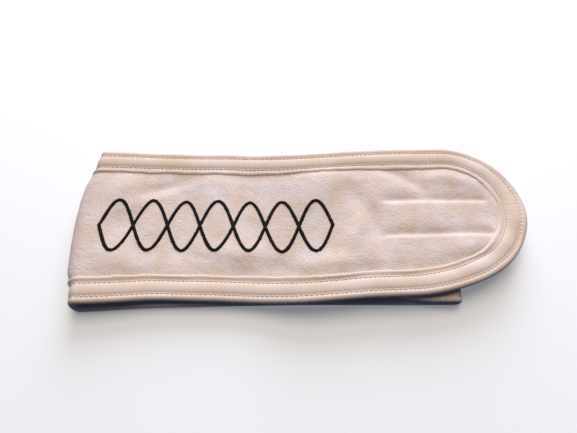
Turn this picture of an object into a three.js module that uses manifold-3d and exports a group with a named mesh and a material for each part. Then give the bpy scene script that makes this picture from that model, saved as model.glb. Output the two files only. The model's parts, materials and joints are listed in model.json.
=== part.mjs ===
// A hook-and-loop spa headband, closed into a flattened loop and lying on a surface.
//
// The band is one long bound strip of two-ply towelling. Starting at the rounded tongue it runs left
// over the top (tab, then front panel), turns under at the left fold, runs right along the bottom
// (back panel), turns up at the right fold and ends in a short rounded flap under the tongue. The hook
// tape under the tongue grips the loop tape on the flap.
//
// Millimetres, +Z up, +X along the band towards the tongue, origin in the middle of the resting face.
import * as THREE from "three";
import { mergeVertices } from "three/addons/utils/BufferGeometryUtils.js";
import Module from "manifold-3d";

const wasm = await Module();
wasm.setup();

// ---- driving dimensions ----
const LENGTH = 246; // left fold to tongue tip
const BAND_WIDTH = 90;
const OVERHANG = 41; // right fold to tongue tip
const FLAP_LENGTH = 70; // right fold to the flap's rounded tip
const TAB_LENGTH = 86; // tongue tip to the crease that the tab peels about
const TONGUE_NEAR_REACH = 69; // how far the tongue tapers on its near side
const TONGUE_FAR_REACH = 44;
const TONGUE_TIP_Y = 5; // the tip lies off the middle of the band
const FLAP_REACH = 58; // how far the flap tapers, the same on both sides
const PLY = 1.1; // thickness of the face cloth, and of the lining cloth
const PLY_GAP = 0.2; // between the two plies
const TAPE = 0.8; // thickness of the binding tape
const TAPE_CLEARANCE = 0.2; // between the binding tape and the cloth that it wraps
const BINDING_WIDTH = 14; // as it shows on either face
const LAYER_GAP = 0.4; // between one layer of the band and the next
const SPLIT_GAP = 0.3; // between the two bodies at a fold or a crease
const STITCH_EDGE = 3.4; // band edge to the outer row of binding stitches
const NEEDLE_GAUGE = 7.2; // between the two rows
const THREAD_WIDTH = 0.6;
const THREAD_HEIGHT = 0.35;
const THREAD_CLEARANCE = 0.1; // under a thread that lies in its groove
const GROOVE_DEPTH = 0.5;
const GROOVE_WIDTH = 1.2;
const FASTENER_WIDTH = 25; // hook tape and loop tape
const HOOK_THICKNESS = 1.0;
const HOOK_LENGTH = 61;
const LOOP_THICKNESS = 0.9;
const LOOP_LENGTH = 46;
const FASTENER_CLEARANCE = 0.3; // between a tape and the cloth under it, and the binding beside it
const FASTENER_GAP = 0.4; // between the hooks and the loops
const FASTENER_SEAM = 1.3; // edge of a tape to the seam that holds it
const SEAM_THICKNESS = 0.4;
const SWAY = 2.6; // how far the tongue lies to the far side of the back panel
const SWAY_LENGTH = 42; // over which the front panel swings across, up to the crease
const RAMP_LENGTH = 48; // over which the front panel climbs onto the flap
const RAMP_END = 5; // clear length between the top of the ramp and the flap's tip
const MOTIF_LENGTH = 129;
const MOTIF_HEIGHT = 32;
const MOTIF_MARGIN = 9; // left fold to the start of the embroidery
const MOTIF_WAVES = 3.5;
const MOTIF_LINE = 1.5; // width of an embroidered line
const MOTIF_RELIEF = 0.6;
const MOTIF_OFFSET_Y = -2;
const MOTIF_STEPS = 16; // facets in one wave

// ---- places worked out from them ----
const LEFT_FOLD_X = -LENGTH / 2;
const TONGUE_TIP_X = LENGTH / 2;
const RIGHT_FOLD_X = TONGUE_TIP_X - OVERHANG;
const FLAP_TIP_X = RIGHT_FOLD_X - FLAP_LENGTH;
const CREASE_X = TONGUE_TIP_X - TAB_LENGTH;
const HALF_WIDTH = BAND_WIDTH / 2;
const CLOTH_HALF = PLY_GAP / 2 + PLY; // band middle surface to either outer face of the cloth
const SLOT_HALF = CLOTH_HALF + TAPE_CLEARANCE;
const LAYER_HALF = SLOT_HALF + TAPE;
const LAYER_HEIGHT = 2 * LAYER_HALF;
const BACK_Z = LAYER_HALF; // middle surface of the back panel
const SECOND_Z = BACK_Z + LAYER_HEIGHT + LAYER_GAP; // of the flap, and of the front panel at its left
const FOLD_Z = (BACK_Z + SECOND_Z) / 2;
const FOLD_RADIUS = (SECOND_Z - BACK_Z) / 2;
const FOLD_REACH = FOLD_RADIUS + LAYER_HALF; // fold centre to its outermost line
const LOOP_OUTER = CLOTH_HALF + FASTENER_CLEARANCE + LOOP_THICKNESS;
const HOOK_INNER = CLOTH_HALF + FASTENER_CLEARANCE;
const HOOK_OUTER = HOOK_INNER + HOOK_THICKNESS;
const TAB_Z = SECOND_Z + LOOP_OUTER + FASTENER_GAP + HOOK_OUTER;
const RAMP_TOP_X = FLAP_TIP_X - RAMP_END;
const STITCH_ROWS = { outer: STITCH_EDGE, inner: STITCH_EDGE + NEEDLE_GAUGE };
const SEAM_LIFT = CLOTH_HALF + FASTENER_CLEARANCE;
const CLOTH_INSET = TAPE + TAPE_CLEARANCE;
const FAR = 400; // beyond every edge of the band
const ARC_STEPS = 8; // facets in a quarter of a fold
const END_STEPS = 12; // facets in each side of a rounded end
const LONG_STEP = 6; // facet length where the band ramps or sways

const CLOTH_COLOUR = 0xe6dcd6;
const LINING_COLOUR = 0xe2d8d0;
const BINDING_COLOUR = 0xe6d6c8;
const THREAD_COLOUR = 0xe3d3c2;
const TAPE_COLOUR = 0xe9e6e2;
const MOTIF_COLOUR = 0x15110f;

// ---- solids ----
function solidOf(geometry) {
  geometry.deleteAttribute("normal");
  geometry.deleteAttribute("uv");
  const merged = mergeVertices(geometry, 1e-4);
  const mesh = new wasm.Mesh({
    numProp: 3,
    vertProperties: merged.attributes.position.array,
    triVerts: new Uint32Array(merged.index.array),
  });
  return new wasm.Manifold(mesh);
}

function geometryOf(solid) {
  const { vertProperties, triVerts } = solid.getMesh();
  const geometry = new THREE.BufferGeometry();
  geometry.setAttribute("position", new THREE.BufferAttribute(vertProperties, 3));
  geometry.setIndex(new THREE.BufferAttribute(triVerts, 1));
  geometry.computeVertexNormals();
  return geometry;
}

// A plan outline in X and Y, standing as a prism through every layer.
function prism(shape) {
  const tall = new THREE.ExtrudeGeometry(shape, { depth: FAR, bevelEnabled: false });
  return solidOf(tall.translate(0, 0, -FAR / 2));
}

function block(x0, x1, y0, y1) {
  const shape = new THREE.Shape();
  shape.moveTo(x0, y0).lineTo(x1, y0).lineTo(x1, y1).lineTo(x0, y1).closePath();
  return prism(shape);
}

// The sheet between two offsets from a side path in X and Z. Positive offsets are on the side of the
// face cloth, because every path runs from the tongue towards the flap.
function sheet(path, low, high) {
  const edge = (offset) => path.map(({ at, normal }) => at.clone().addScaledVector(normal, offset));
  const shape = new THREE.Shape([...edge(high), ...edge(low).reverse()]);
  const wide = new THREE.ExtrudeGeometry(shape, { depth: FAR, bevelEnabled: false });
  return solidOf(wide.rotateX(Math.PI / 2).translate(0, FAR / 2, 0));
}

// ---- side paths, one for each body ----
function withNormals(points) {
  return points.map((at, i) => {
    const before = points[Math.max(i - 1, 0)];
    const after = points[Math.min(i + 1, points.length - 1)];
    const along = after.clone().sub(before).normalize();
    return { at, normal: new THREE.Vector2(along.y, -along.x) };
  });
}

function quarter(centreX, fromAngle, toAngle) {
  return Array.from({ length: ARC_STEPS + 1 }, (_, i) => {
    const angle = THREE.MathUtils.lerp(fromAngle, toAngle, i / ARC_STEPS);
    const normal = new THREE.Vector2(Math.cos(angle), Math.sin(angle));
    return { at: new THREE.Vector2(centreX, FOLD_Z).addScaledVector(normal, FOLD_RADIUS), normal };
  });
}

function straight(x0, x1, height) {
  const steps = Math.max(1, Math.ceil(Math.abs(x1 - x0) / LONG_STEP));
  return Array.from({ length: steps + 1 }, (_, i) => {
    const x = THREE.MathUtils.lerp(x0, x1, i / steps);
    return new THREE.Vector2(x, height(x));
  });
}

const LEFT_CENTRE_X = LEFT_FOLD_X + FOLD_REACH;
const RIGHT_CENTRE_X = RIGHT_FOLD_X - FOLD_REACH;

function frontHeight(x) {
  const climb = THREE.MathUtils.smoothstep(x, RAMP_TOP_X - RAMP_LENGTH, RAMP_TOP_X);
  return THREE.MathUtils.lerp(SECOND_Z, TAB_Z, climb);
}

const TAB_PATH = withNormals([
  new THREE.Vector2(TONGUE_TIP_X, TAB_Z),
  new THREE.Vector2(CREASE_X + SPLIT_GAP / 2, TAB_Z),
]);
const FRONT_PATH = [
  ...withNormals(straight(CREASE_X - SPLIT_GAP / 2, LEFT_CENTRE_X, frontHeight)).slice(0, -1),
  ...quarter(LEFT_CENTRE_X, Math.PI / 2, Math.PI),
];
const BACK_PATH = [
  ...quarter(LEFT_CENTRE_X, Math.PI, 1.5 * Math.PI),
  ...quarter(RIGHT_CENTRE_X, 1.5 * Math.PI, 2 * Math.PI),
];
const FLAP_PATH = [
  ...quarter(RIGHT_CENTRE_X, 0, Math.PI / 2),
  ...withNormals([new THREE.Vector2(FLAP_TIP_X, SECOND_Z), new THREE.Vector2(FLAP_TIP_X - 1, SECOND_Z)]),
];

// ---- plan outlines ----
// The front panel swings across in a gentle curve, so that the tongue lies a little askew on the back panel.
function sway(x) {
  return SWAY * THREE.MathUtils.smoothstep(x, CREASE_X - SWAY_LENGTH, CREASE_X);
}

// Each plan is a function that returns a body's outline, drawn in from its edge by an inset.
function openPlan(inset) {
  return block(-FAR, FAR, inset - HALF_WIDTH, HALF_WIDTH - inset);
}

function swayedPlan(inset) {
  const middle = [
    new THREE.Vector2(-FAR, 0),
    ...straight(CREASE_X - SWAY_LENGTH, CREASE_X, sway),
    new THREE.Vector2(FAR, SWAY),
  ];
  const edge = (half) => middle.map(({ x, y }) => new THREE.Vector2(x, y + half));
  return prism(new THREE.Shape([...edge(inset - HALF_WIDTH), ...edge(HALF_WIDTH - inset).reverse()]));
}

// A rounded end is two quarter ellipses that meet at its tip. Its outline, drawn in by an inset, runs from
// -90 degrees at the near edge of the band, through 0 at the tip, to 90 degrees at the far edge.
function endPoint({ tipX, tipY, side, nearReach, farReach }, inset, angle) {
  const [reach, rise] = angle < 0 ? [nearReach, HALF_WIDTH + tipY] : [farReach, HALF_WIDTH - tipY];
  const x = tipX - side * (reach - (reach - inset) * Math.cos(angle));
  return new THREE.Vector2(x, tipY + (rise - inset) * Math.sin(angle));
}

function roundedPlan(end) {
  return (inset) => {
    const shape = new THREE.Shape();
    shape.moveTo(-end.side * FAR, end.middleY + inset - HALF_WIDTH);
    for (let i = -END_STEPS; i <= END_STEPS; i++) {
      const { x, y } = endPoint(end, inset, ((i / END_STEPS) * Math.PI) / 2);
      shape.lineTo(x, end.middleY + y);
    }
    shape.lineTo(-end.side * FAR, end.middleY + HALF_WIDTH - inset).closePath();
    return prism(shape);
  };
}

// tipY is measured from the middle of the band there, which is middleY.
const TONGUE_END = {
  tipX: TONGUE_TIP_X,
  tipY: TONGUE_TIP_Y,
  middleY: SWAY,
  side: 1,
  nearReach: TONGUE_NEAR_REACH,
  farReach: TONGUE_FAR_REACH,
};
const FLAP_END = {
  tipX: FLAP_TIP_X,
  tipY: 0,
  middleY: 0,
  side: -1,
  nearReach: FLAP_REACH,
  farReach: FLAP_REACH,
};

// The thin level slot that parts the two bodies at a fold.
const FOLD_SLOT = (() => {
  const slot = new THREE.BoxGeometry(FAR, FAR, SPLIT_GAP).translate(0, 0, FOLD_Z);
  return solidOf(slot);
})();

// ---- the pieces of the band ----
const headband = new THREE.Group();

function addPiece(name, solid, colour, roughness = 0.95) {
  const material = new THREE.MeshStandardMaterial({ color: colour, roughness, metalness: 0 });
  const mesh = new THREE.Mesh(geometryOf(solid), material);
  mesh.name = name;
  headband.add(mesh);
}

function ring(plan, from, to) {
  return plan(from).subtract(plan(to));
}

// The two plies of cloth, cut back to lie inside the binding.
function addCloth(body) {
  const outline = body.plan(CLOTH_INSET);
  const face = sheet(body.path, PLY_GAP / 2, CLOTH_HALF).intersect(outline);
  const lining = sheet(body.path, -CLOTH_HALF, -PLY_GAP / 2).intersect(outline);
  addPiece(body.name + "_face_cloth", face.subtract(FOLD_SLOT), CLOTH_COLOUR);
  addPiece(body.name + "_lining_cloth", lining.subtract(FOLD_SLOT), LINING_COLOUR);
}

// The tape folded over the edge of both plies, grooved where its two rows of stitches pull it down.
function bindingSolid(body) {
  const whole = sheet(body.path, -LAYER_HALF, LAYER_HALF).intersect(ring(body.plan, 0, BINDING_WIDTH));
  const slot = sheet(body.path, -SLOT_HALF, SLOT_HALF).intersect(body.plan(TAPE));
  const skin = sheet(body.path, LAYER_HALF - GROOVE_DEPTH, LAYER_HALF + GROOVE_DEPTH);
  let made = whole.subtract(slot).subtract(FOLD_SLOT);
  for (const inset of Object.values(STITCH_ROWS)) {
    made = made.subtract(skin.intersect(ring(body.plan, inset - GROOVE_WIDTH / 2, inset + GROOVE_WIDTH / 2)));
  }
  return made;
}

function threadSolid(body, inset) {
  const low = LAYER_HALF - GROOVE_DEPTH + THREAD_CLEARANCE;
  const row = ring(body.plan, inset - THREAD_WIDTH / 2, inset + THREAD_WIDTH / 2);
  return sheet(body.path, low, low + THREAD_HEIGHT).intersect(row).subtract(FOLD_SLOT);
}

// An edge runs round a rounded end in one piece, and down a straight panel in two.
function addEdges(body) {
  const sides = body.end
    ? { "": block(-FAR, FAR, -FAR, FAR) }
    : { _near: block(-FAR, FAR, -FAR, 0), _far: block(-FAR, FAR, 0, FAR) };
  const binding = bindingSolid(body);
  for (const [side, half] of Object.entries(sides)) {
    addPiece(body.name + "_binding" + side, binding.intersect(half), BINDING_COLOUR, 0.85);
    for (const [row, inset] of Object.entries(STITCH_ROWS)) {
      const thread = threadSolid(body, inset).intersect(half);
      addPiece(`${body.name}_stitches${side}_${row}`, thread, THREAD_COLOUR, 0.7);
    }
  }
}

// A length of hook or loop tape, and the seam that shows on the other side of the cloth.
function addFastener(body, name, x0, x1, low, high, seamLow) {
  const nearY = body.end.middleY - FASTENER_WIDTH / 2;
  const farY = body.end.middleY + FASTENER_WIDTH / 2;
  const frame = (inset) => block(x0 + inset, x1 - inset, nearY + inset, farY - inset);
  addPiece(name, sheet(body.path, low, high).intersect(frame(0)), TAPE_COLOUR, 0.8);
  const seam = frame(FASTENER_SEAM).subtract(frame(FASTENER_SEAM + THREAD_WIDTH));
  const thread = sheet(body.path, seamLow, seamLow + SEAM_THICKNESS).intersect(seam);
  addPiece(name + "_seam", thread, THREAD_COLOUR, 0.7);
}

// Two strands that cross each other like a loose braid: an ornament with no lettering.
function addEmbroidery(body) {
  const startX = LEFT_FOLD_X + MOTIF_MARGIN;
  const reach = (MOTIF_HEIGHT - MOTIF_LINE) / 2;
  const turn = (MOTIF_WAVES * 2 * Math.PI) / MOTIF_LENGTH;
  const steps = Math.round(MOTIF_WAVES * MOTIF_STEPS);
  function strand(sign) {
    const line = Array.from({ length: steps + 1 }, (_, i) => {
      const x = (i / steps) * MOTIF_LENGTH;
      const y = MOTIF_OFFSET_Y + sway(startX + x) + sign * reach * Math.sin(turn * x);
      const at = new THREE.Vector2(startX + x, y);
      const along = new THREE.Vector2(1, sign * reach * turn * Math.cos(turn * x)).normalize();
      return { at, side: new THREE.Vector2(-along.y, along.x) };
    });
    const edge = (offset) => line.map(({ at, side }) => at.clone().addScaledVector(side, offset));
    return prism(new THREE.Shape([...edge(-MOTIF_LINE / 2), ...edge(MOTIF_LINE / 2).reverse()]));
  }
  const plan = strand(1).add(strand(-1));
  const relief = sheet(body.path, SEAM_LIFT, SEAM_LIFT + MOTIF_RELIEF);
  addPiece("embroidery", relief.intersect(plan), MOTIF_COLOUR, 0.6);
}

const tab = { name: "tab", path: TAB_PATH, plan: roundedPlan(TONGUE_END), end: TONGUE_END };
const front = { name: "front", path: FRONT_PATH, plan: swayedPlan };
const back = { name: "back", path: BACK_PATH, plan: openPlan };
const flap = { name: "flap", path: FLAP_PATH, plan: roundedPlan(FLAP_END), end: FLAP_END };

for (const body of [tab, front, back, flap]) {
  addCloth(body);
  addEdges(body);
}

// The tapes run as far into the rounded ends as their square corners can go inside the binding.
function cornerX(end, cornerY) {
  const rise = HALF_WIDTH - BINDING_WIDTH + (cornerY < 0 ? end.tipY : -end.tipY);
  return endPoint(end, BINDING_WIDTH, Math.asin((cornerY - end.tipY) / rise)).x;
}
const tapeHalf = FASTENER_WIDTH / 2;
const hookEndX = Math.min(cornerX(TONGUE_END, -tapeHalf), cornerX(TONGUE_END, tapeHalf)) - FASTENER_CLEARANCE;
const loopStartX = Math.max(cornerX(FLAP_END, -tapeHalf), cornerX(FLAP_END, tapeHalf)) + FASTENER_CLEARANCE;
addFastener(tab, "hook_tape", hookEndX - HOOK_LENGTH, hookEndX, -HOOK_OUTER, -HOOK_INNER, SEAM_LIFT);
addFastener(flap, "loop_tape", loopStartX, loopStartX + LOOP_LENGTH, SEAM_LIFT, LOOP_OUTER,
  -SEAM_LIFT - SEAM_THICKNESS);
addEmbroidery(front);

const middle = new THREE.Box3().setFromObject(headband).getCenter(new THREE.Vector3());
headband.position.set(-middle.x, -middle.y, 0);
export default headband;
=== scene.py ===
"""A spa headband of velour towelling, closed into a loop with its hook-and-loop tongue and laid flat.

The band is one strip. A place on it is (s, v): s is the distance along it from the tongue's tip, over the
front panel, round the left fold, along the back panel, round the right fold and along the flap; v is the
distance across it, from -45 at the near edge to 45 at the far edge. band() turns (s, v) into a point of the
strip's middle surface, and every piece is laid on that surface at its own height. Lengths are in
millimetres until a mesh is made.
"""

import json
import math

import bpy
import numpy as np
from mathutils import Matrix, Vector


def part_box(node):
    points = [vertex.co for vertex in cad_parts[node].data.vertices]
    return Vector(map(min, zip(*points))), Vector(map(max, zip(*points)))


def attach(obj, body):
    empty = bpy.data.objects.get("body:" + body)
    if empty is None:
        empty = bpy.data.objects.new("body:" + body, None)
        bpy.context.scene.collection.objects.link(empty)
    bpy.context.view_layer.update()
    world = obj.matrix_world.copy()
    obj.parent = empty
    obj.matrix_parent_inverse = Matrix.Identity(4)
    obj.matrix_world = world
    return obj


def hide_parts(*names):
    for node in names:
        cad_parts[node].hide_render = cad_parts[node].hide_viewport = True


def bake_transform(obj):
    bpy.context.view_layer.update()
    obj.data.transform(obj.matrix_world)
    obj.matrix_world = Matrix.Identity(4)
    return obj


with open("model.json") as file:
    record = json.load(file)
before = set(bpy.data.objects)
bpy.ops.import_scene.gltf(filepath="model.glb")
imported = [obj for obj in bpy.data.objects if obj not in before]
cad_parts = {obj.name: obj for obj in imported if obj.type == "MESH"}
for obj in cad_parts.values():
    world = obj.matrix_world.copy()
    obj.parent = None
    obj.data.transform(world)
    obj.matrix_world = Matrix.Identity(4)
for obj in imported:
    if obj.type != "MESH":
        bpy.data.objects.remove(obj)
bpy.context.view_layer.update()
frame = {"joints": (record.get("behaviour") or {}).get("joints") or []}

MM = 0.001

# ---- places taken from the frame ----
hinge = {j["name"]: np.array(j["pos_m"]) / MM for j in frame["joints"]}


def box_mm(node):
    low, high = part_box(node)
    return np.array(low) / MM, np.array(high) / MM


tab_high = box_mm("tab_binding")[1]
near_edge_y = box_mm("back_binding_near")[0][1]
far_edge_y = box_mm("back_binding_far")[1][1]
hook_low, hook_high = box_mm("hook_tape")
loop_low, loop_high = box_mm("loop_tape")
motif_low, motif_high = box_mm("embroidery")

LEFT_X, FOLD_Z = hinge["front_fold"][0], hinge["front_fold"][2]
RIGHT_X = hinge["flap_fold"][0]
CREASE_X = hinge["tab_peel"][0]
TIP_X = tab_high[0]
FLAP_TIP_X = box_mm("flap_binding")[0][0]
CENTRE_Y = (near_edge_y + far_edge_y) / 2
HALF_WIDTH = (far_edge_y - near_edge_y) / 2

# ---- make of the band ----
LAYER_HALF = 2.2  # middle surface to the binding's outer face
CLOTH_HALF = 1.2  # middle surface to the cloth's outer face
PLY_GAP_HALF = 0.1  # middle surface to the inner face of either ply
FOLD_RADIUS = FOLD_Z - LAYER_HALF
BACK_Z = LAYER_HALF
SECOND_Z = FOLD_Z + FOLD_RADIUS
TAB_Z = tab_high[2] - LAYER_HALF
# how far the rounded ends taper on their near and far sides, and the place across the band of their tips
TONGUE_REACH, TONGUE_TIP_V = (69.0, 44.0), 5.0
FLAP_REACH, FLAP_TIP_V = (58.0, 58.0), 0.0
END_POWER = (2.1, 2.0)  # 2 is a true ellipse, and the near side is sewn a little fuller
BINDING_SHOWS = 14.0  # width of the binding on either face
RIM_LIFT = 1.5  # the bindings lie on each other, and the cloth sags between them
ROW_OUTER, ROW_INNER = 3.4, 10.5  # the two needle rows, from the edge
STITCH = 2.5  # from one needle hole to the next
TIP_WIDENS = 0.11  # share by which the binding shows wider where it goes round a tip

LEFT_ARC_X = LEFT_X + FOLD_RADIUS + LAYER_HALF
RIGHT_ARC_X = RIGHT_X - FOLD_RADIUS - LAYER_HALF
LEFT_ARC_LENGTH = 18.0  # more than the right fold takes, because the left one is puffed
RIGHT_ARC_LENGTH = math.pi * FOLD_RADIUS
S_LEFT = TIP_X - LEFT_ARC_X
S_BACK = S_LEFT + LEFT_ARC_LENGTH
S_RIGHT = S_BACK + RIGHT_ARC_X - LEFT_ARC_X
S_FLAP = S_RIGHT + RIGHT_ARC_LENGTH
S_END = S_FLAP + RIGHT_ARC_X - FLAP_TIP_X

# where one mesh of the band ends and the next begins
SEAM_FRONT_X = -101.0
SEAM_BACK_X = -20.0
S_SEAM_FRONT = TIP_X - SEAM_FRONT_X
S_SEAM_BACK = S_BACK + SEAM_BACK_X - LEFT_ARC_X


# ---- small maths ----
def ease(x, low, high):
    t = np.clip((x - low) / (high - low), 0.0, 1.0)
    return t * t * (3 - 2 * t)


def bell(x, width):
    return np.exp(-((x / width) ** 2))


def cloud(x, y, size, seed, octaves=1):
    """Smooth value noise in -1..1 over the plane, with features of about one size."""
    total, weight = 0.0, 0.0
    for octave in range(octaves):
        lattice = np.random.default_rng(seed + octave).uniform(-1, 1, (257, 257))
        u, w = x / size * 2**octave, y / size * 2**octave
        i, j = np.floor(u).astype(int), np.floor(w).astype(int)
        fu, fw = u - i, w - j
        fu, fw = fu * fu * (3 - 2 * fu), fw * fw * (3 - 2 * fw)
        i0, i1, j0, j1 = i % 257, (i + 1) % 257, j % 257, (j + 1) % 257
        near = lattice[i0, j0] * (1 - fu) + lattice[i1, j0] * fu
        far = lattice[i0, j1] * (1 - fu) + lattice[i1, j1] * fu
        total = total + (near * (1 - fw) + far * fw) * 0.5**octave
        weight += 0.5**octave
    return total / weight


# ---- plan of the band: each side of a rounded end is a quarter of an ellipse ----
def quarter_ellipse(s, side):
    """For one side of the end that s lies towards: depth from its tip, taper, rise, power and tip's v."""
    tongue = s < S_END / 2
    which = (side + 1) // 2
    reach = np.where(tongue, np.array(TONGUE_REACH)[which], np.array(FLAP_REACH)[which])
    tip_v = np.where(tongue, TONGUE_TIP_V, FLAP_TIP_V)
    power = np.array(END_POWER)[which]
    return np.where(tongue, s, S_END - s), reach, HALF_WIDTH - side * tip_v, power, tip_v


def limit(s, side, inset):
    """The near (-1) or far (1) limit of the band at s, drawn in by an inset."""
    depth, reach, rise, power, tip_v = quarter_ellipse(s, side)
    share = np.clip((reach - depth) / (reach - inset), 0.0, 1.0)
    return tip_v + side * (rise - inset) * (1 - share**power) ** (1 / power)


def inset_of(s, v):
    """Roughly how far a place on the band lies in from its edge."""
    tip_v = np.where(s < S_END / 2, TONGUE_TIP_V, FLAP_TIP_V)
    side = np.where(v < tip_v, -1, 1)
    depth, reach, rise, power, tip_v = quarter_ellipse(s, side)
    past, w = np.maximum(reach - depth, 0.0), np.abs(v - tip_v)
    r = ((past / reach) ** power + (w / rise) ** power) ** (1 / power) + 1e-9
    slope = np.hypot((past / reach) ** (power - 1) / reach, (w / rise) ** (power - 1) / rise) + 1e-9
    return np.where(past > 0, (1 - r) * r ** (power - 1) / slope, rise - w)


# ---- the laid shape of the band ----
FOLD_GAIN = 1.25  # how strongly the soft folds below stand up
RIPPLE, RIPPLE_SIZE = 0.7, 17.0  # the gentle unevenness between them
SWAY, SWAY_LENGTH = 2.6, 42.0  # how far the tongue swings to the far side, and over what length
CLIMB_START_X, CLIMB_END_X = -40.0, 8.0  # the front panel climbs onto the flap
LEFT_PUFF, LEFT_PUFF_LENGTH = 3.6, 62.0  # it stands up where it comes off the left fold
TIP_DROOP = 1.6  # the tongue's end hangs down past the right fold
EDGE_WAVE, EDGE_WAVE_FROM_X = 0.25, -80.0  # its edges wave a little, but not next to the left fold
FOLD_SHAPE = 0.9  # 1 is a round fold, and less is a squarer one

# How far the band lies off its straight lines. The edges have (x, shift across) and the fold (v, push out).
FAR_EDGE = [(-118, 1.9), (-80, 1.7), (-40, 2.1), (-5, -1.0), (25, -1.5), (50, -0.4), (90, -0.2), (123, -0.6)]
NEAR_EDGE = [(-118, -1.2), (-103, -0.4), (-80, 1.7), (-40, 1.0), (-12, -0.9), (28, -0.9), (55, 0.2),
             (85, 1.4), (110, 0.9)]
BACK_PANEL = [(-118, -2.8), (-85, -0.5), (-40, 0.45), (0, 1.1), (82, 1.15)]
LEFT_FOLD = [(-45, 0.2), (-36, 0.4), (-32, 2.8), (-28, 4.6), (-20, 5.7), (-8, 6.7), (4, 7.0), (15, 6.8),
             (24, 5.4), (30, 4.1), (35, 1.1), (40, -0.3), (45, -1.4)]

# Soft folds in the front panel: middle x and v, direction in degrees, half length, half width, height.
FRONT_FOLDS = [
    (-80.0, 21.5, 22, 17.0, 4.6, -1.2),
    (-88.0, 15.0, 20, 22.0, 4.5, 0.7),
    (-108.0, 17.0, 60, 14.0, 6.0, 0.8),
    (8.0, 20.5, 40, 20.0, 13.0, 1.5),
    (32.0, 10.0, -60, 17.0, 5.5, -1.0),
    (58.0, 24.5, -33, 16.0, 4.5, -1.2),
    (28.0, -7.0, 65, 16.0, 5.0, 1.2),
    (40.0, -11.0, 100, 12.0, 4.0, -1.0),
    (-100.0, -23.0, -10, 20.0, 6.0, 0.5),
    (-35.0, -19.0, -8, 20.0, 5.0, 0.9),
    (-13.0, -25.5, -15, 16.0, 4.5, -0.9),
    (15.0, -24.0, 5, 16.0, 5.0, 0.8),
    (84.0, 24.0, -10, 16.0, 4.0, 0.7),
    (86.0, -19.0, 6, 18.0, 5.0, 0.7),
    (90.0, -25.0, 12, 14.0, 4.0, -0.5),
]


def wrinkles(x, v):
    """The soft folds and the ripple, fading out towards the bindings and the left fold."""
    height = 0.0
    for x0, v0, degrees, long, wide, tall in FRONT_FOLDS:
        c, s = math.cos(math.radians(degrees)), math.sin(math.radians(degrees))
        along, across = (x - x0) * c + (v - v0) * s, (v - v0) * c - (x - x0) * s
        height = height + FOLD_GAIN * tall * bell(along, long) * bell(across, wide)
    height = height + RIPPLE * cloud(x, v, RIPPLE_SIZE, 3)
    inside = 1 - ease(np.abs(v), HALF_WIDTH - BINDING_SHOWS - 3, HALF_WIDTH - BINDING_SHOWS + 5)
    return height * inside * ease(x, LEFT_ARC_X, LEFT_ARC_X + 14)


def sway(x):
    """How far the front panel and the tongue swing away from the near side."""
    return SWAY * ease(x, CREASE_X - SWAY_LENGTH, CREASE_X)


def gentle(x, points, over=9.0):
    """A soft curve near a few chosen (x, value) points."""
    xs, values = zip(*points)
    return sum(np.interp(x + lag, xs, values) for lag in np.linspace(-over, over, 7)) / 7


def front_shift(x, v):
    """How far the front panel lies from straight, shared out between its near and far edges."""
    near, far = gentle(x, NEAR_EDGE), gentle(x, FAR_EDGE)
    return near + (far - near) * (v / HALF_WIDTH + 1) / 2


def left_bulge(v):
    """How far the left fold pushes out past its bindings."""
    return gentle(v, LEFT_FOLD, over=1.5)


def front_z(x, v):
    """Height of the front panel and the tongue over the surface that the band lies on."""
    level = SECOND_Z + (TAB_Z - SECOND_Z) * ease(x, CLIMB_START_X, CLIMB_END_X)
    puff = LEFT_PUFF * (1 - ease(x, LEFT_ARC_X - 6, LEFT_ARC_X + LEFT_PUFF_LENGTH))
    rim = RIM_LIFT * (np.clip(1 - inset_of(TIP_X - x, v) / HALF_WIDTH, 0, 1) ** 2.2 - 0.35)
    droop = TIP_DROOP * ease(x, RIGHT_X - 4, TIP_X + 8)
    wave = EDGE_WAVE * np.sin(x / 13.0 + 1.0) * (v / HALF_WIDTH) ** 4 * ease(x, LEFT_ARC_X, EDGE_WAVE_FROM_X)
    return level + puff - droop + rim + wave + wrinkles(x, v)


def back_shift(x):
    """The back panel's left end lies nearer than its right end."""
    return gentle(x, BACK_PANEL)


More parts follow.
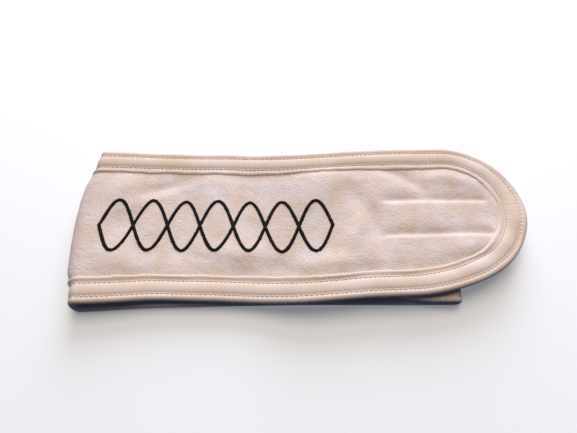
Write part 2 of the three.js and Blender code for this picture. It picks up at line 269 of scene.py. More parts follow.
def band(s, v):
    """Points of the strip's middle surface: over, round the left fold, under, round the right fold, flap."""
    s, v = np.broadcast_arrays(np.asarray(s, float), np.asarray(v, float))
    out = np.empty(s.shape + (3,))
    over = s < S_LEFT
    left = (s >= S_LEFT) & (s < S_BACK)
    under = (s >= S_BACK) & (s < S_RIGHT)
    right = (s >= S_RIGHT) & (s < S_FLAP)
    flap = s >= S_FLAP

    x, w = TIP_X - s[over], v[over]
    y = CENTRE_Y + w + sway(x) + front_shift(x, w)
    out[over] = np.stack([x, y, front_z(x, w)], -1)

    angle, w = (s[left] - S_LEFT) / LEFT_ARC_LENGTH * math.pi, v[left]
    top = front_z(np.full_like(w, LEFT_ARC_X), w)
    reach = FOLD_RADIUS + left_bulge(w)
    turned = (1 - np.cos(angle)) / 2
    start = front_shift(LEFT_ARC_X, w)
    y = CENTRE_Y + w + start * (1 - turned) + back_shift(LEFT_ARC_X) * turned
    z = (top + BACK_Z) / 2 + (top - BACK_Z) / 2 * np.cos(angle)
    out[left] = np.stack([LEFT_ARC_X - reach * np.sin(angle) ** FOLD_SHAPE, y, z], -1)

    x, w = LEFT_ARC_X + s[under] - S_BACK, v[under]
    out[under] = np.stack([x, CENTRE_Y + w + back_shift(x), np.full_like(x, BACK_Z)], -1)

    angle, w = (s[right] - S_RIGHT) / FOLD_RADIUS, v[right]
    z = FOLD_Z - FOLD_RADIUS * np.cos(angle)
    x = RIGHT_ARC_X + FOLD_RADIUS * np.sin(angle)
    out[right] = np.stack([x, CENTRE_Y + w + back_shift(RIGHT_ARC_X), z], -1)

    x, w = RIGHT_ARC_X - (s[flap] - S_FLAP), v[flap]
    out[flap] = np.stack([x, CENTRE_Y + w + back_shift(RIGHT_ARC_X), np.full_like(x, SECOND_Z)], -1)
    return out


def place(s, v, height):
    """Points at a height over the middle surface, on the side of the face cloth."""
    s, v, height = np.broadcast_arrays(*(np.asarray(a, float) for a in (s, v, height)))
    step = 0.3
    along = band(s + step, v) - band(s - step, v)
    across = band(s, v + step) - band(s, v - step)
    normal = np.cross(across, along)
    normal /= np.linalg.norm(normal, axis=-1, keepdims=True)
    return band(s, v) + normal * height[..., None]


# ---- meshes ----
UPWARDS = np.array([0.0, 0.0, 1.0])


def make_piece(name, points, faces, material, laid, crease=50):
    """A mesh object from points in millimetres, with each point's place on the band in the attribute laid."""
    mesh = bpy.data.meshes.new(name)
    mesh.from_pydata((points.reshape(-1, 3) * MM).tolist(), [], faces)
    store = mesh.attributes.new("laid", "FLOAT_VECTOR", "POINT")
    flat = np.zeros((len(mesh.vertices), 3), np.float32)
    flat[:, :2] = laid.reshape(-1, 2)
    store.data.foreach_set("vector", flat.ravel())
    mesh.polygons.foreach_set("use_smooth", [True] * len(mesh.polygons))
    mesh.set_sharp_from_angle(angle=math.radians(crease))
    mesh.materials.append(material)
    mesh.update()
    piece = bpy.data.objects.new(name, mesh)
    bpy.context.scene.collection.objects.link(piece)
    return piece


def grid_faces(rows, columns, first=0, closed=False):
    """Quads between the points of a grid, as an array of four indices each."""
    i, j = np.meshgrid(np.arange(rows - 1), np.arange(columns if closed else columns - 1), indexing="ij")
    i, j = i.ravel(), j.ravel()
    k = (j + 1) % columns
    quads = [i * columns + j, i * columns + k, (i + 1) * columns + k, (i + 1) * columns + j]
    return np.stack(quads, 1) + first


def slab(name, outer, inner, laid, material):
    """A closed sheet between two grids of points."""
    rows, columns = outer.shape[:2]
    count = rows * columns
    index = np.arange(count).reshape(rows, columns)
    rim = np.concatenate([index[0, :-1], index[:-1, -1], index[-1, :0:-1], index[:0:-1, 0]])
    after = np.roll(rim, -1)
    walls = np.stack([rim, rim + count, after + count, after], 1)
    faces = np.concatenate([grid_faces(rows, columns), grid_faces(rows, columns, count)[:, ::-1], walls])
    points = np.concatenate([outer.reshape(-1, 3), inner.reshape(-1, 3)])
    doubled = np.concatenate([laid.reshape(-1, 2)] * 2)
    return make_piece(name, points, faces.tolist(), material, doubled)


def sweep(name, rings, laid, material):
    """A closed section carried along a path: rings is (steps, points round the section, 3)."""
    steps, round_it = rings.shape[:2]
    faces = grid_faces(steps, round_it, closed=True).tolist()
    faces.append(list(range(round_it)))
    faces.append(list(range((steps - 1) * round_it, steps * round_it))[::-1])
    return make_piece(name, rings, faces, material, laid, 60)


def strands(name, lines, laid, radius, material, up=UPWARDS, sides=6):
    """Many short round threads in one mesh. lines is (threads, points, 3), radius is (threads, points)."""
    count, length = lines.shape[:2]
    tangent = np.gradient(lines, axis=1)
    tangent /= np.linalg.norm(tangent, axis=-1, keepdims=True) + 1e-9
    side = np.cross(tangent, up)
    side /= np.linalg.norm(side, axis=-1, keepdims=True) + 1e-9
    over = np.cross(side, tangent)
    turn = np.arange(sides) / sides * 2 * math.pi
    ring = side[:, :, None] * np.cos(turn)[:, None] + over[:, :, None] * np.sin(turn)[:, None]
    points = lines[:, :, None] + ring * radius[:, :, None, None]
    one = grid_faces(length, sides, closed=True)
    starts = np.arange(count) * length * sides
    faces = (one[None] + starts[:, None, None]).reshape(-1, 4).tolist()
    for start in starts.tolist():
        faces.append(list(range(start, start + sides)))
        last = start + (length - 1) * sides
        faces.append(list(range(last, last + sides))[::-1])
    round_laid = np.repeat(laid.reshape(count * length, 1, 2), sides, 1)
    return make_piece(name, points, faces, material, round_laid, 80)


# ---- materials ----
WAVE_PERIOD = 2 * math.pi / 20  # from band to band of the wave texture at scale 1


def linear(code):
    """sRGB hex to the linear colour that a shader takes."""
    parts = [int(code[i : i + 2], 16) / 255 for i in (1, 3, 5)]
    return [c / 12.92 if c <= 0.04045 else ((c + 0.055) / 1.055) ** 2.4 for c in parts] + [1.0]


def add(tree, kind, links=None, **settings):
    """A shader node. links maps its inputs to other nodes' outputs, and settings are properties or inputs."""
    made = tree.nodes.new(kind)
    for key, value in settings.items():
        if hasattr(made, key):
            setattr(made, key, value)
        else:
            made.inputs[key.replace("_", " ")].default_value = value
    for key, source in (links or {}).items():
        tree.links.new(source, made.inputs[key])
    return made


def new_material(name, **shader):
    """A principled material, with its tree, its shader and the laid coordinate, which is in millimetres."""
    material = bpy.data.materials.new(name)
    material.use_nodes = True
    tree = material.node_tree
    tree.nodes.clear()
    surface = add(tree, "ShaderNodeBsdfPrincipled")
    for key, value in shader.items():
        surface.inputs[key.replace("_", " ")].default_value = value
    add(tree, "ShaderNodeOutputMaterial", {"Surface": surface.outputs[0]})
    place_on_band = add(tree, "ShaderNodeAttribute", attribute_name="laid")
    return material, tree, surface, place_on_band.outputs["Vector"]


def colour_ramp(tree, factor, *stops):
    """Blends hex colours over a factor: each stop is (position, colour)."""
    ramp = add(tree, "ShaderNodeValToRGB", {"Fac": factor})
    while len(ramp.color_ramp.elements) < len(stops):
        ramp.color_ramp.elements.new(0.5)
    for element, (position, colour) in zip(ramp.color_ramp.elements, stops):
        element.position = position
        element.color = linear(colour)
    return ramp.outputs["Color"]


def velour(name, shade, tone, light, pile):
    """Velour towelling, cotton and polyester: the loops are sheared to a short dense pile, which scatters
    light softly and glows at grazing angles. Its colour holds painted highlight and painted shade: random
    patches and specks run from a shaded peach to a highlit lavender-white."""
    material, tree, surface, at = new_material(
        name, Roughness=0.92, Sheen_Weight=0.45, Sheen_Roughness=0.45, Specular_IOR_Level=0.15
    )
    surface.inputs["Sheen Tint"].default_value = linear("#FAF8FF")
    patch, clump, tuft = 14.0, 0.9, 1.1  # tufts are drawn a little coarser than the real pile, to show
    # random patches about 14 mm across that carry the painted highlight and painted shade
    painted_light_and_shade_patches = add(tree, "ShaderNodeTexNoise", {"Vector": at}, Scale=1 / patch, Detail=2.0, Roughness=0.55)
    clumps = add(tree, "ShaderNodeTexNoise", {"Vector": at}, Scale=1 / clump, Detail=4.0, Roughness=0.75)
    both = add(tree, "ShaderNodeMix", {"A": painted_light_and_shade_patches.outputs["Fac"], "B": clumps.outputs["Fac"]}, Factor=0.4)
    # painted highlight and painted shade: the ramp runs from the shade colour to the light colour
    colour = colour_ramp(tree, both.outputs[0], (0.3, shade), (0.5, tone), (0.68, light))
    tree.links.new(colour, surface.inputs["Base Color"])
    tufts = add(tree, "ShaderNodeTexVoronoi", {"Vector": at}, Scale=1 / tuft, Randomness=1.0)
    relief = add(tree, "ShaderNodeMath", {0: tufts.outputs["Distance"], 1: clumps.outputs["Fac"]},
                 operation="ADD")
    bump = add(tree, "ShaderNodeBump", {"Height": relief.outputs[0]}, Strength=pile, Distance=0.35 * MM)
    tree.links.new(bump.outputs[0], surface.inputs["Normal"])
    return material


def knit_binding():
    """Cotton-elastane knit tape: fine ribs run across it, and it is matt with a faint sheen. Its colour holds
    painted highlight and painted shade: random patches, and faintly the ribs, run from a shaded peach to a
    highlit lavender-white.
    """
    material, tree, surface, at = new_material(
        "knit_binding", Roughness=0.8, Sheen_Weight=0.4, Sheen_Roughness=0.5, Specular_IOR_Level=0.2
    )
    surface.inputs["Sheen Tint"].default_value = linear("#F4F4FF")
    rib, patch, fibre = 1.1, 24.0, 0.45  # from rib to rib, and the size of the shading and of the grain
    ribs = add(tree, "ShaderNodeTexWave", {"Vector": at}, bands_direction="X", Scale=WAVE_PERIOD / rib,
               Distortion=0.6, Detail=2.0, Detail_Scale=1.5)
    # random patches about 24 mm across that carry the painted highlight and painted shade
    painted_light_and_shade_mottle = add(tree, "ShaderNodeTexNoise", {"Vector": at}, Scale=1 / patch, Detail=3.0)
    grain = add(tree, "ShaderNodeTexNoise", {"Vector": at}, Scale=1 / fibre, Detail=2.0)
    tone = add(tree, "ShaderNodeMix", {"A": painted_light_and_shade_mottle.outputs["Fac"], "B": ribs.outputs["Fac"]}, Factor=0.15)
    colour = colour_ramp(tree, tone.outputs[0], (0.3, "#E4CDB4"), (0.5, "#EAD9C8"), (0.7, "#EEE5DF"))
    tree.links.new(colour, surface.inputs["Base Color"])
    height = add(tree, "ShaderNodeMix", {"A": ribs.outputs["Fac"], "B": grain.outputs["Fac"]}, Factor=0.4)
    bump = add(tree, "ShaderNodeBump", {"Height": height.outputs[0]}, Strength=0.38, Distance=0.18 * MM)
    tree.links.new(bump.outputs[0], surface.inputs["Normal"])
    return material


def spun_thread(name, dark, pale, roughness, sheen):
    """Spun polyester thread: two plies twisted together, so the light breaks into slanting glints. The colour
    ramp paints these: pale painted glints on the plies and dark painted shade between them.
    """
    material, tree, surface, at = new_material(
        name, Roughness=roughness, Sheen_Weight=sheen, Specular_IOR_Level=0.15
    )
    pitch = 0.5  # of the twist
    twist = add(tree, "ShaderNodeTexWave", {"Vector": at}, bands_direction="DIAGONAL",
                Scale=WAVE_PERIOD / pitch, Distortion=1.0)
    # painted glints (pale) and painted shade between the plies (dark), along the twist
    colour = colour_ramp(tree, twist.outputs["Fac"], (0.2, dark), (0.8, pale))
    tree.links.new(colour, surface.inputs["Base Color"])
    bump = add(tree, "ShaderNodeBump", {"Height": twist.outputs["Fac"]}, Strength=0.4, Distance=0.08 * MM)
    tree.links.new(bump.outputs[0], surface.inputs["Normal"])
    return material


def nylon(name, dark, pale, roughness, yarn):
    """Woven and heat-set nylon: hard, slightly glossy and off-white, with the grain of its yarn."""
    material, tree, surface, at = new_material(name, Roughness=roughness, Specular_IOR_Level=0.45)
    weave = add(tree, "ShaderNodeTexNoise", {"Vector": at}, Scale=1 / yarn, Detail=3.0)
    colour = colour_ramp(tree, weave.outputs["Fac"], (0.3, dark), (0.7, pale))
    tree.links.new(colour, surface.inputs["Base Color"])
    bump = add(tree, "ShaderNodeBump", {"Height": weave.outputs["Fac"]}, Strength=0.4, Distance=0.15 * MM)
    tree.links.new(bump.outputs[0], surface.inputs["Normal"])
    return material


# each velour's shade and light colours are a painted shade and a painted highlight
FACE = velour("velour_face", "#E0C9B3", "#E8D9CD", "#EEE9EC", 0.45)
LINING = velour("velour_lining", "#DCC6B2", "#E4D4C8", "#EBE4E5", 0.55)
BINDING = knit_binding()
THREAD = spun_thread("cream_thread", "#E6D4C4", "#F6EEE7", 0.6, 0.2)
BLACK = spun_thread("black_thread", "#050505", "#171412", 0.55, 0.03)
HOOK = nylon("nylon_hook_tape", "#E2DFDA", "#F2F0EC", 0.45, 0.8)
LOOP = nylon("nylon_loop_tape", "#E4E0DB", "#F4F2EF", 0.75, 0.6)


# ---- cloth ----
CLOTH_INSET = 7.0  # the cloth ends this far inside the binding's fold
FASTENER_HALF = 12.5  # half the width of the hook tape and of the loop tape
SEAM_IN = 2.0  # edge of a tape to the seam that holds it
GROOVE_DEPTH = 1.45
GROOVE_FAR, GROOVE_NEAR = (3.6, 1.5), (1.2, 1.4)  # each side's width and shape: the near side is steep
TAPE_START_S, TAPE_END_S = TIP_X - hook_high[0], TIP_X - hook_low[0]


def seam_groove(s, v):
    """The face cloth is drawn down where the hook tape is stitched on."""
    depth = 0.0
    run = ease(s, TAPE_START_S - 1.5, TAPE_START_S + 2) * (1 - ease(s, TAPE_END_S - 7, TAPE_END_S + 1))
    for side in (-1, 1):
        q = v - side * (FASTENER_HALF - SEAM_IN)
        wide = np.where(q > 0, GROOVE_FAR[0], GROOVE_NEAR[0])
        shape = np.where(q > 0, GROOVE_FAR[1], GROOVE_NEAR[1])
        depth = depth + GROOVE_DEPTH * np.exp(-(np.abs(q / wide) ** shape))
    return depth * run


def face_height(s, v):
    """The face cloth's outer side: pile, the padded middle, the tape under it and the tuck at the binding."""
    inset = inset_of(s, v)
    pile = 0.09 * cloud(s, v, 1.7, 11, 2) + 0.1 * cloud(s, v, 5.5, 17)
    puff = 0.5 * ease(inset, BINDING_SHOWS + 0.5, BINDING_SHOWS + 7)
    tuck = 0.25 * bell(inset - BINDING_SHOWS, 1.3)
    padded = 0.6 * ease(TAPE_END_S - s, -2, 6) * bell(v, FASTENER_HALF + 5)
    level_far = 0.35 * np.clip(v / HALF_WIDTH, 0, 1) * ease(inset, BINDING_SHOWS - 2, BINDING_SHOWS)
    grown = np.where(s < S_BACK, puff + padded + level_far, 0.0)
    return CLOTH_HALF + 0.1 + (pile + grown - tuck) * ease(inset, 9, 13) - seam_groove(s, v)


def lining_height(s, v):
    """The lining's outer side."""
    inset = inset_of(s, v)
    return -CLOTH_HALF + 0.12 * cloud(s, v, 2.6, 23, 2) * ease(inset, 9, 13)


def tapered(reach, step):
    """Depths from just inside a rounded tip to where the band has its full width."""
    turn = np.arange(math.radians(83), 0, -step / min(reach))
    depth = min(reach) - (min(reach) - CLOTH_INSET) * np.sin(turn)
    return np.concatenate([depth, even(depth[-1], max(reach) + step, step)[1:]])


def even(start, stop, step):
    return np.linspace(start, stop, max(2, int(abs(stop - start) / step) + 1))


def stretch_rows(stretch, step):
    """Places along one of the three lengths that the band is made in, closer together at the folds."""
    if stretch == "front":
        tip = tapered(TONGUE_REACH, step)
        return np.concatenate([tip, even(tip[-1], S_SEAM_FRONT, step)[1:]])
    if stretch == "fold":
        bend = even(S_LEFT, S_BACK, min(step, 0.6))
        back = even(S_BACK, S_SEAM_BACK, step)[1:]
        return np.concatenate([even(S_SEAM_FRONT, S_LEFT, step)[:-1], bend, back])
    bend = even(S_RIGHT, S_FLAP, 0.25)
    flat = even(S_SEAM_BACK, S_RIGHT, step)[:-1]
    tip = S_END - tapered(FLAP_REACH, step)[::-1]
    return np.concatenate([flat, bend, even(S_FLAP, tip[0], step)[1:-1], tip])


def cloth(ply, stretch, step):
    """One length of the face cloth or of the lining, with its cut edge inside the binding."""
    rows = stretch_rows(stretch, step)
    across = np.linspace(0, 1, int(2 * (HALF_WIDTH - CLOTH_INSET) / step) + 1)
    s = np.repeat(rows[:, None], len(across), 1)
    near, far = limit(s, -1, CLOTH_INSET), limit(s, 1, CLOTH_INSET)
    v = near + (far - near) * across[None]
    name, laid = f"{stretch}_{ply}", np.stack([s, v], -1)
    if ply == "face":
        return slab(name, place(s, v, face_height(s, v)), place(s, v, PLY_GAP_HALF), laid, FACE)
    return slab(name, place(s, v, -PLY_GAP_HALF), place(s, v, lining_height(s, v)), laid, LINING)


# ---- binding ----
EDGE_HEIGHT, EDGE_DEPTH = 2.05, 2.3  # the folded edge rises to this height within this depth
ROLL = 0.5  # height of the roll between the needle rows
NEAR_LIP = 0.45  # the free edge stands up more along the near side
UNDER_LIMIT = 1.95  # the underside is pressed flat at this depth
INSIDE = [-1.28, -1.28, -1.28, -1.15, 0, 1.15, 1.3, 1.3, 1.3]  # heights of the side that wraps the cloth


def edge_path(stretch, step):
    """Evenly spaced places along an edge, the direction inwards at each, and the distance along the edge."""
    if stretch.startswith("fold"):
        s = even(S_SEAM_FRONT, S_SEAM_BACK, step)
        side = -1 if stretch.endswith("near") else 1
        return s, np.full_like(s, side * HALF_WIDTH), np.zeros_like(s), np.full_like(s, -side), s
    turn = np.linspace(-math.pi / 2, math.pi / 2, 401)
    reaches, tip_v, root = FLAP_REACH, FLAP_TIP_V, S_SEAM_BACK
    if stretch == "front":
        reaches, tip_v, root = TONGUE_REACH, TONGUE_TIP_V, S_SEAM_FRONT
    power = 2 / np.where(turn < 0, *END_POWER)
    depth = np.where(turn < 0, *reaches) * (1 - np.abs(np.cos(turn)) ** power)
    v = tip_v + (HALF_WIDTH - np.sign(turn) * tip_v) * np.sign(turn) * np.abs(np.sin(turn)) ** power
    s = depth if stretch == "front" else S_END - depth
    s = np.concatenate([[root], s, [root]])
    v = np.concatenate([[-HALF_WIDTH], v, [HALF_WIDTH]])
    run = np.concatenate([[0], np.cumsum(np.hypot(np.diff(s), np.diff(v)))])
    p = even(0, run[-1], step)
    s, v = np.interp(p, run, s), np.interp(p, run, v)
    ds, dv = np.gradient(s), np.gradient(v)
    size = np.hypot(ds, dv) * (-1 if stretch == "front" else 1)
    size /= 1 + TIP_WIDENS * np.abs(dv / size)
    return s, v, -dv / size, ds / size, p


def ridge_gain(s):
    """The roll between the needle rows stands up on the front and is pressed flat underneath."""
    return 1 - ease(s, S_LEFT + 2, S_BACK)


def binding_height(d, gain, pull, width):
    """The binding's outer side at d in from its fold: folded edge, roll, needle rows and free edge."""
    edge = EDGE_HEIGHT * (1 - np.clip((EDGE_DEPTH - d) / EDGE_DEPTH, 0, 1) ** 2.3) ** (1 / 2.3)
    roll = gain * ROLL * bell(d - BINDING_SHOWS / 2, 2.6)
    rows = pull * (0.6 * bell(d - ROW_OUTER, 0.8) + 0.55 * bell(d - ROW_INNER, 0.85))
    flange = 0.25 * ease(d, ROW_INNER, 13.0) - gain * 0.35 * bell(d - width + 1.1, 0.9)
    return edge + roll - rows - flange


def needle_pull(p):
    """The thread draws the binding down most at its holes."""
    return 0.72 + 0.28 * np.cos(math.pi * p / STITCH) ** 2


# where the section of the binding has its points, in from the fold, closer together at the needle rows
FACE_INSETS = np.array([0, 0.2, 0.6, 1.1, 1.7, 2.3, 2.9, 3.4, 3.9, 4.5, 5.2, 6.0, 7.0, 8.0, 8.8, 9.4, 10.0,
                        10.5, 11.0, 11.5, 12.0])
LINING_INSETS = FACE_INSETS[1::2]
INSIDE_INSETS = np.array([13.0, 10.0, 6.0, 2.5, 1.0, 2.5, 6.0, 10.0, 13.0])


def binding(name, stretch):
    """The tape wraps the edge: its closed section has a face side, an underside and an inside."""
    s, v, inward_s, inward_v, p = (row[:, None] for row in edge_path(stretch, STITCH / 4))
    width = BINDING_SHOWS + 0.45 * cloud(p, 0 * p, 11.0, 31) + 0.2 * cloud(p, 0 * p, 3.4, 37)
    pull, gain = needle_pull(p), ridge_gain(s)
    free = width - np.array([1.1, 0.6, 0.2, 0.0])
    face_d = np.concatenate([free[:, ::-1], np.repeat(FACE_INSETS[None, ::-1], len(s), 0)], 1)
    face_t = binding_height(face_d, gain, pull, width) * (1 + 0.02 * cloud(p, 0 * p, 1.9, 41))
    face_t += NEAR_LIP * np.clip(-v / HALF_WIDTH, 0, 1) * gain * ease(face_d, 11.5, 13.0)
    face_t[:, :3] -= np.array([0.6, 0.25, 0.06])
    under_d = np.concatenate([np.repeat(LINING_INSETS[None], len(s), 0), free], 1)
    under_t = -np.minimum(binding_height(under_d, 0, pull, width), UNDER_LIMIT)
    under_t[:, -2:] += np.array([0.12, 0.42])
    inside_d, inside_t = (np.repeat(np.array(row)[None], len(s), 0) for row in (INSIDE_INSETS, INSIDE))
    d, t = np.concatenate([face_d, under_d, inside_d], 1), np.concatenate([face_t, under_t, inside_t], 1)
    round_it = np.concatenate([[0], np.cumsum(np.abs(np.diff(d[0])) + 0.3)])
    rings = place(s + d * inward_s, v + d * inward_v, t)
    return sweep(name, rings, np.stack(np.broadcast_arrays(p, round_it[None]), -1), BINDING)


# ---- edge stitching ----
NEEDLE_THREAD, LOOPER_THREAD, SEAM_THREAD = 0.27, 0.2, 0.2  # radii
STITCH_PROFILE = np.array([[0.6, 0.95, 1, 1, 0.95, 0.6]])  # a stitch is thinner where it dives
LOOPER_HEIGHT = -1.9  # the looper thread lies on the underside


def in_from_edge(path, q, d):
    """Places on the band that lie q along an edge's path and d in from it."""
    s, v, inward_s, inward_v = (np.interp(q, path[-1], row) for row in path[:-1])
    return s + d * inward_s, v + d * inward_v


def stitch_starts(path):
    return np.arange(path[-1][0] + 0.1, path[-1][-1] - STITCH, STITCH)[:, None]


def needle_threads(name, edges, row):
    """One row of separate stitches, sunk in the binding."""
    lines, laid = [], []
    rise = np.sin(np.linspace(0, math.pi, 6))[None]
    for edge in edges:
        path = edge_path(edge, STITCH / 4)
        q = stitch_starts(path) + np.linspace(0.12, STITCH - 0.12, 6)[None]
        gain = ridge_gain(np.interp(q, path[-1], path[0]))
        height = binding_height(np.full_like(q, row), gain, 0.85, BINDING_SHOWS) - 0.15 + 0.48 * rise
        lines.append(place(*in_from_edge(path, q, row), height))
        laid.append(np.stack([q, np.full_like(q, row)], -1))
    lines, laid = np.concatenate(lines), np.concatenate(laid)
    return strands(name, lines, laid, np.repeat(NEEDLE_THREAD * STITCH_PROFILE, len(lines), 0), THREAD)


def looper_threads(name, edges):
    """The lining side of the twin-needle seam: one thread that crosses to and fro between the two rows."""
    lines, laid = [], []
    share = np.linspace(0, 1, 7)[None]
    for edge in edges:
        path = edge_path(edge, STITCH / 4)
        for d0, d1, lag in ((ROW_OUTER, ROW_INNER, 0.0), (ROW_INNER, ROW_OUTER, STITCH / 2)):
            q = stitch_starts(path) + lag + share * STITCH / 2
            d = d0 + (d1 - d0) * share + 0 * q
            lines.append(place(*in_from_edge(path, q, d), LOOPER_HEIGHT))
            laid.append(np.stack([q, d], -1))
    lines, laid = np.concatenate(lines), np.concatenate(laid)
    return strands(name, lines, laid, np.full(lines.shape[:2], LOOPER_THREAD), THREAD, sides=5)


# ---- embroidery ----
MOTIF_WAVES = 3.5
MOTIF_LINE = 1.9  # width of a line
MOTIF_HEIGHT, MOTIF_V = 32.0, -2.0  # across the band, and where its middle lies
SATIN_PITCH, SATIN_THREAD = 0.42, 0.28  # from thread to thread along a line, and a thread's radius
SATIN_LEAN = math.radians(62)  # between a thread and the line that it crosses
SATIN_RISE = 0.55  # how far the middle of a line stands up


def motif_strand(sign, spacing):
    """One wavy line of the ornament: evenly spaced places on the band, and the direction across the line."""
    reach = (MOTIF_HEIGHT - MOTIF_LINE) / 2
    x = np.linspace(motif_low[0] + 0.7, motif_high[0] - 0.7, 4000)
    share = (x - x[0]) / (x[-1] - x[0])
    v = MOTIF_V + sign * reach * np.sin(share * MOTIF_WAVES * 2 * math.pi)
    run = np.concatenate([[0], np.cumsum(np.hypot(np.diff(x), np.diff(v)))])
    p = even(0, run[-1], spacing)
    x, v = np.interp(p, run, x), np.interp(p, run, v)
    dx, dv = np.gradient(x), np.gradient(v)
    size = np.hypot(dx, dv)
    return p, x, v, dx / size, dv / size


def embroidery():
    """Satin stitch: short black threads side by side across each line, raised as if over a laid cord."""
    rng = np.random.default_rng(5)
    lines, laid, thick = [], [], []
    for sign in (1, -1):
        p, x, v, ux, uv = motif_strand(sign, SATIN_PITCH)
        lean = SATIN_LEAN + rng.uniform(-0.12, 0.12, len(p))
        cx, cv = ux * np.cos(lean) - uv * np.sin(lean), ux * np.sin(lean) + uv * np.cos(lean)
        half = MOTIF_LINE / 2 * rng.uniform(0.85, 1.2, len(p))
        q = np.linspace(-1, 1, 7)
        at_s = TIP_X - (x[:, None] + cx[:, None] * half[:, None] * q)
        at_v = v[:, None] + cv[:, None] * half[:, None] * q
        rise = SATIN_RISE * np.sqrt(1 - (q * 0.98) ** 2)[None] - 0.12 + rng.uniform(-0.05, 0.05, (len(p), 1))
        lines.append(place(at_s, at_v, face_height(at_s, at_v) + rise))
        laid.append(np.stack([p[:, None] + 0 * q, q[None] + 0 * p[:, None]], -1))
        thick.append(np.repeat(SATIN_THREAD * np.array([[0.7, 1, 1, 1, 1, 1, 0.7]]), len(p), 0))
    lines, laid, thick = np.concatenate(lines), np.concatenate(laid), np.concatenate(thick)
    return strands("motif_stitches", lines, laid, thick, BLACK)


# ---- hook and loop ----
TAPE_BACK = 1.4  # middle surface to the back of either tape
HOOK_BASE = 1.95  # middle surface to the front of the hook tape's ground
LOOP_BASE = 1.75  # middle surface to the front of the loop tape's ground
LOOP_START_S = S_FLAP + RIGHT_ARC_X - loop_high[0]
LOOP_END_S = S_FLAP + RIGHT_ARC_X - loop_low[0]
HOOK_WIRE, LOOP_WIRE = 0.11, 0.06  # radii
LOOP_COUNT = 2600


def tape_slab(name, s0, s1, low, high, material):
    """The woven ground of a fastener tape."""
    s = np.repeat(even(s0, s1, 1.5)[:, None], 19, 1)
    v = np.repeat(np.linspace(-FASTENER_HALF, FASTENER_HALF, 19)[None], len(s), 0)
    return slab(name, place(s, v, high), place(s, v, low), np.stack([s, v], -1), material)


def hooks():
    """Rows of bent monofilament hooks on the underside of the tongue."""
    rng = np.random.default_rng(8)
    places = np.arange(TAPE_START_S + 1.4, TAPE_END_S - 1, 1.5), np.arange(-10.6, 10.7, 1.25)
    s, v = np.meshgrid(*places, indexing="ij")
    s, v = s.ravel() + rng.uniform(-0.15, 0.15, s.size), v.ravel() + rng.uniform(-0.12, 0.12, v.size)
    bend = np.array([[0, 0], [0.05, 0.35], [0.2, 0.62], [0.48, 0.72], [0.7, 0.56], [0.72, 0.36]])
    way = np.where(np.arange(len(s)) % 2 == 0, 1, -1)[:, None]
    at_s = s[:, None] + way * bend[None, :, 0]
    at_v = v[:, None] + 0 * at_s
    lines = place(at_s, at_v, -(HOOK_BASE + bend[None, :, 1]))
    laid = np.stack([at_s, at_v], -1)
    return strands("hooks", lines, laid, np.full(lines.shape[:2], HOOK_WIRE), HOOK, np.array([0, 1.0, 0]), 5)


def loops():
    """The brushed pile of the loop tape: fine arches that lean every way."""
    rng = np.random.default_rng(9)
    s = rng.uniform(LOOP_START_S + 1, LOOP_END_S - 1, LOOP_COUNT)
    v = rng.uniform(-11.6, 11.6, LOOP_COUNT)
    turn = rng.uniform(0, math.pi, LOOP_COUNT)
    arch = np.linspace(0, math.pi, 6)[None]
    reach = rng.uniform(0.5, 1.0, LOOP_COUNT)[:, None]
    at_s = s[:, None] + reach * np.cos(arch) * np.cos(turn)[:, None]
    at_v = v[:, None] + reach * np.cos(arch) * np.sin(turn)[:, None]
    tall = rng.uniform(0.25, 0.5, LOOP_COUNT)[:, None]
    lines = place(at_s, at_v, LOOP_BASE + tall * np.sin(arch))
    laid, thick = np.stack([at_s, at_v], -1), np.full(lines.shape[:2], LOOP_WIRE)
    return strands("loops", lines, laid, thick, LOOP, np.array([0.02, 0.01, 1.0]), 4)


def seam_stitches(name, s0, s1, height):
    """The lock-stitched frame that holds a tape on, as it shows on the other side."""
    half = FASTENER_HALF - SEAM_IN
    corners = [(s0, -half), (s1, -half), (s1, half), (s0, half), (s0, -half)]
    lines, laid = [], []
    for (a, b), (c, d) in zip(corners, corners[1:]):
        length = math.hypot(c - a, d - b)
        count = int(length / STITCH)
        share = (np.arange(count)[:, None] + np.linspace(0.08, 0.92, 6)[None]) / count
        at_s, v = a + (c - a) * share, b + (d - b) * share
        lift = 0.2 * np.sin(np.linspace(0, math.pi, 6))[None] - 0.17
        level = height(at_s, v)
        lines.append(place(at_s, v, level + np.sign(level) * lift))
        laid.append(np.stack([at_s, v], -1))
    lines, laid = np.concatenate(lines), np.concatenate(laid)
    thick = np.repeat(SEAM_THREAD * np.array([[0.6, 1, 1, 1, 1, 0.6]]), len(lines), 0)
    return strands(name, lines, laid, thick, THREAD)


def settle(piece, stretch, slot, *nodes):
    """Bakes a piece's place into its mesh and hides the CAD parts that it stands for."""
    if stretch == "front":
        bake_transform(piece)
    elif stretch == "fold":
        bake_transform(piece)
    else:
        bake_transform(piece)
    if nodes:
        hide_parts(*nodes)
    return piece


CLOTHS = [
    # ply, stretch, mesh step, what it lies on, CAD nodes that it stands for
    ("face", "front", 0.9, "front_lining", "front_face_cloth", "tab_face_cloth"),
    ("face", "fold", 0.9, "fold_lining", "back_face_cloth"),
    ("face", "rear", 1.2, "rear_lining", "flap_face_cloth"),
    ("lining", "front", 1.4, "rear_lining", "front_lining_cloth", "tab_lining_cloth"),
    ("lining", "fold", 1.4, "fold_face", "back_lining_cloth"),
    ("lining", "rear", 1.4, "rear_face", "flap_lining_cloth"),
]
for ply, stretch, step, lies_on, *nodes in CLOTHS:
    made = settle(cloth(ply, stretch, step), stretch, f"{ply}_cloth", *nodes)

settle(binding("front_binding", "front"), "front", "binding",
       "front_binding_near", "front_binding_far", "tab_binding")
settle(binding("fold_binding_near", "fold_near"), "fold", "binding", "back_binding_near")
settle(binding("fold_binding_far", "fold_far"), "fold", "binding", "back_binding_far")
settle(binding("rear_binding", "rear"), "rear", "binding", "flap_binding")

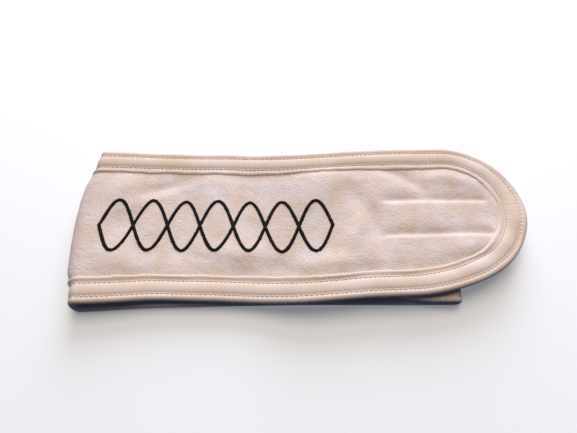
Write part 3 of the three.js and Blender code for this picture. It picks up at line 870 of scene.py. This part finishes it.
EDGES = {"front": ["front"], "fold": ["fold_near", "fold_far"], "rear": ["rear"]}
SEWN = {  # the CAD's rows of stitches that each stretch's threads stand for
    "front": ["front_stitches_near", "front_stitches_far", "tab_stitches"],
    "fold": ["back_stitches_near", "back_stitches_far"],
    "rear": ["flap_stitches"],
}
for row_name, row in (("outer", ROW_OUTER), ("inner", ROW_INNER)):
    for stretch, edges in EDGES.items():
        made = needle_threads(f"{stretch}_stitches_{row_name}", edges, row)
        settle(made, stretch, "thread", *(f"{node}_{row_name}" for node in SEWN[stretch]))
for stretch, edges in EDGES.items():
    settle(looper_threads(f"{stretch}_looper_thread", edges), stretch, "thread")

settle(embroidery(), "front", "embroidery_thread", "embroidery")

hook_base = tape_slab("hook_tape_ground", TAPE_START_S, TAPE_END_S, -HOOK_BASE, -TAPE_BACK, HOOK)
hook_pile = hooks()
for made in (hook_base, hook_pile):
    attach(made, "tab")
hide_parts("hook_tape")
hook_seam = seam_stitches("hook_seam", TAPE_START_S + SEAM_IN, TAPE_END_S - SEAM_IN, face_height)
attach(hook_seam, "tab")
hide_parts("hook_tape_seam")

loop_base = tape_slab("loop_tape_ground", LOOP_START_S, LOOP_END_S, TAPE_BACK, LOOP_BASE, LOOP)
loop_pile = loops()
for made in (loop_base, loop_pile):
    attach(made, "under_flap")
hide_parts("loop_tape")
loop_seam = seam_stitches("loop_seam", LOOP_START_S + SEAM_IN, LOOP_END_S - SEAM_IN, lining_height)
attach(loop_seam, "under_flap")
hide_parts("loop_tape_seam")


# ---- floor, light and camera ----
def studio():
    """A pale seamless floor, a cool window behind the band and a warm lamp above it."""
    material, _, surface, _ = new_material("pale_floor", Roughness=0.9)
    surface.inputs["Base Color"].default_value = linear("#EFF5F8")
    surface.inputs["Emission Color"].default_value = linear("#FFFFFF")
    surface.inputs["Emission Strength"].default_value = 0.2
    bpy.ops.mesh.primitive_plane_add(size=6)
    floor = bpy.context.object
    floor.name = "floor"
    floor.location.z = -0.2 * MM
    floor.data.materials.append(material)
    floor.visible_diffuse = False  # keeps the band's shaded sides from being lit from below

    def area_light(name, place_m, aim_m, size, watts, colour):
        lamp = bpy.data.lights.new(name, "AREA")
        lamp.shape = "DISK"
        lamp.size = size
        lamp.energy = watts
        lamp.color = linear(colour)[:3]
        light = bpy.data.objects.new(name, lamp)
        light.location = place_m
        light.rotation_euler = (Vector(aim_m) - Vector(place_m)).to_track_quat("-Z", "Y").to_euler()
        bpy.context.scene.collection.objects.link(light)

    area_light("window_behind", (0.1, 1.05, 0.5), (0, 0, 0), 0.9, 15.5, "#E9ECFF")
    area_light("lamp_above", (0.0, 0.4, 1.15), (0, 0, 0), 0.9, 9.1, "#FFEDDB")
    world = bpy.data.worlds.new("room")
    world.use_nodes = True
    sky = world.node_tree
    sky.nodes.clear()
    dim = add(sky, "ShaderNodeBackground", Color=linear("#B0C4FF"), Strength=0.07)
    pale = add(sky, "ShaderNodeBackground", Color=linear("#F4F5F7"), Strength=0.9)
    path = add(sky, "ShaderNodeLightPath")  # the walls look pale, yet only the lamps light the band
    seen = path.outputs["Is Camera Ray"]
    walls = add(sky, "ShaderNodeMixShader", {0: seen, 1: dim.outputs[0], 2: pale.outputs[0]})
    add(sky, "ShaderNodeOutputWorld", {"Surface": walls.outputs[0]})
    bpy.context.scene.world = world
    bpy.context.scene.view_settings.view_transform = "Standard"


def set_camera():
    """Looks down across the band from about a quarter of a metre above it."""
    below_level = 63.5  # degrees
    lens = bpy.data.cameras.new("camera")
    lens.sensor_width = 36.0
    lens.lens = 28.08
    camera = bpy.data.objects.new("camera", lens)
    camera.location = (-9.3 * MM, -109.5 * MM, 236.0 * MM)
    camera.rotation_euler = (math.radians(90 - below_level), 0, 0)
    bpy.context.scene.collection.objects.link(camera)
    bpy.context.scene.camera = camera


studio()
set_camera()
